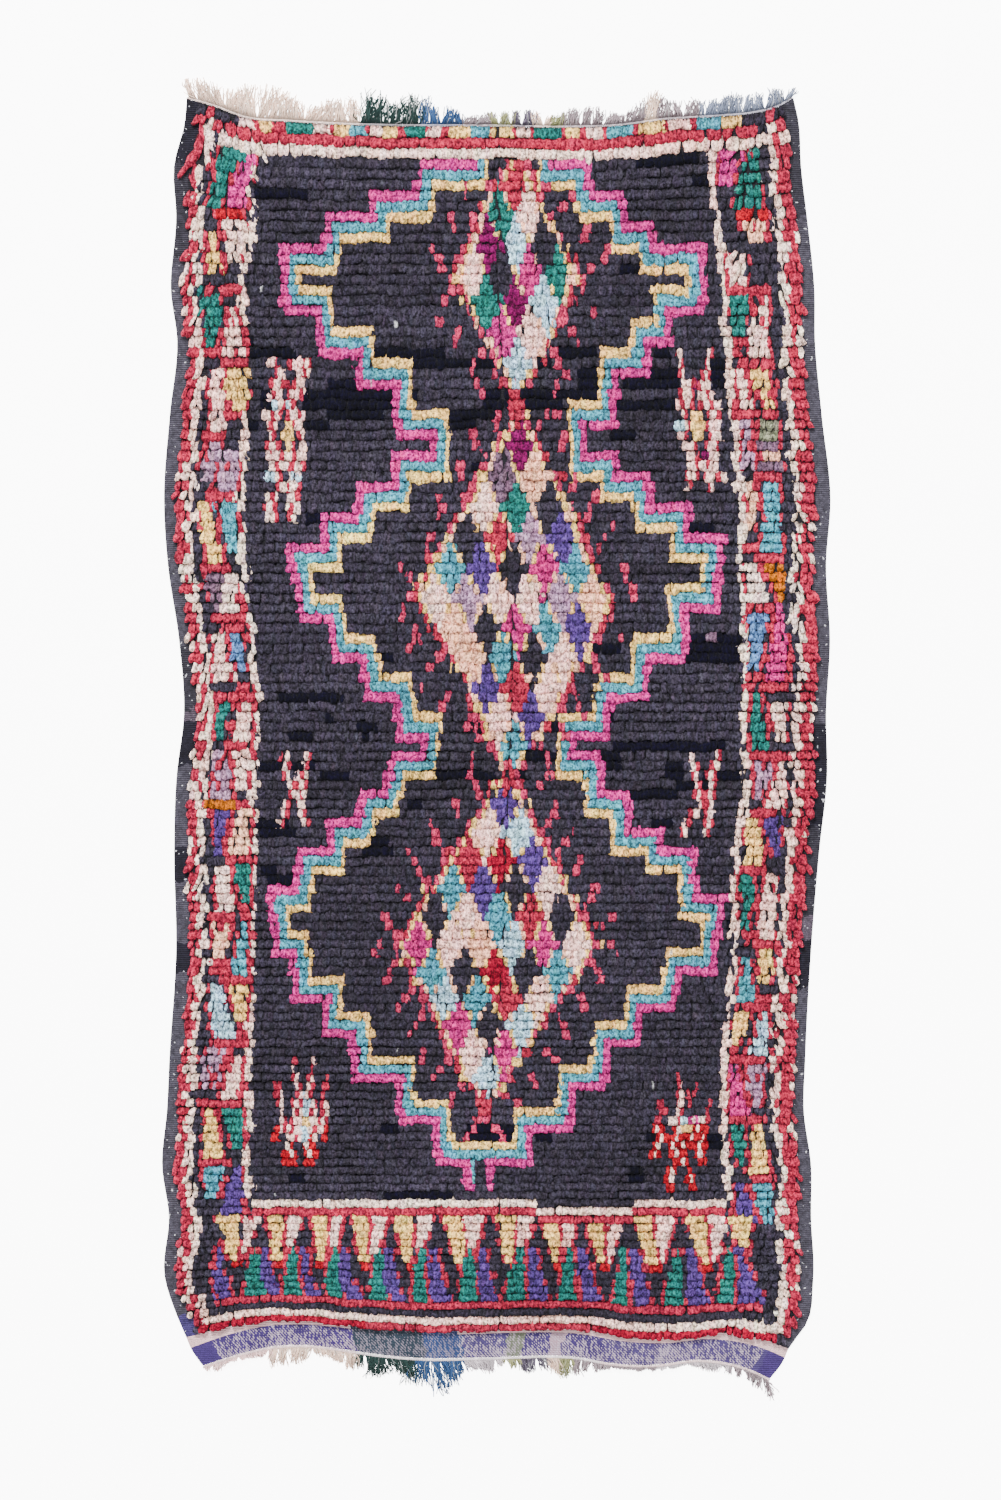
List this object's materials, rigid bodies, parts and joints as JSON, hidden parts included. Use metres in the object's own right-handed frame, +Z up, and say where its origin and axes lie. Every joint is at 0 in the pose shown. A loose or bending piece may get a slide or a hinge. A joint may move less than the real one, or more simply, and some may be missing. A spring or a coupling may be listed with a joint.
{
  "type": "boucherouite pile rug",
  "caption": "Hand-knotted pile rug with stepped medallions, flat selvedges, a flat-woven end and a short fringe at both ends, lying flat.",
  "frame": {"origin": "centre of the rug's box, on the floor under it", "axes": "+Z up from the floor, +Y along the rug's length towards its top end, +X across its width"},
  "size_m": [1.3772, 2.7326, 0.0173],
  "materials": {
    "knotted_pile": "matt knotted wool and cotton pile, mostly charcoal, with motifs in pink, teal, yellow, green, purple, coral and cream",
    "top_fringe_yarn": "matt loose yarn in cream, dark green, blue and grey-lilac stretches",
    "bottom_fringe_yarn": "matt loose yarn in cream, dark green, blue and grey-lilac stretches"
  },
  "bodies": {
    "root": {"rug_cloth": "knotted_pile", "fringe_top": "top_fringe_yarn", "fringe_bottom": "bottom_fringe_yarn"}
  },
  "joints": []
}
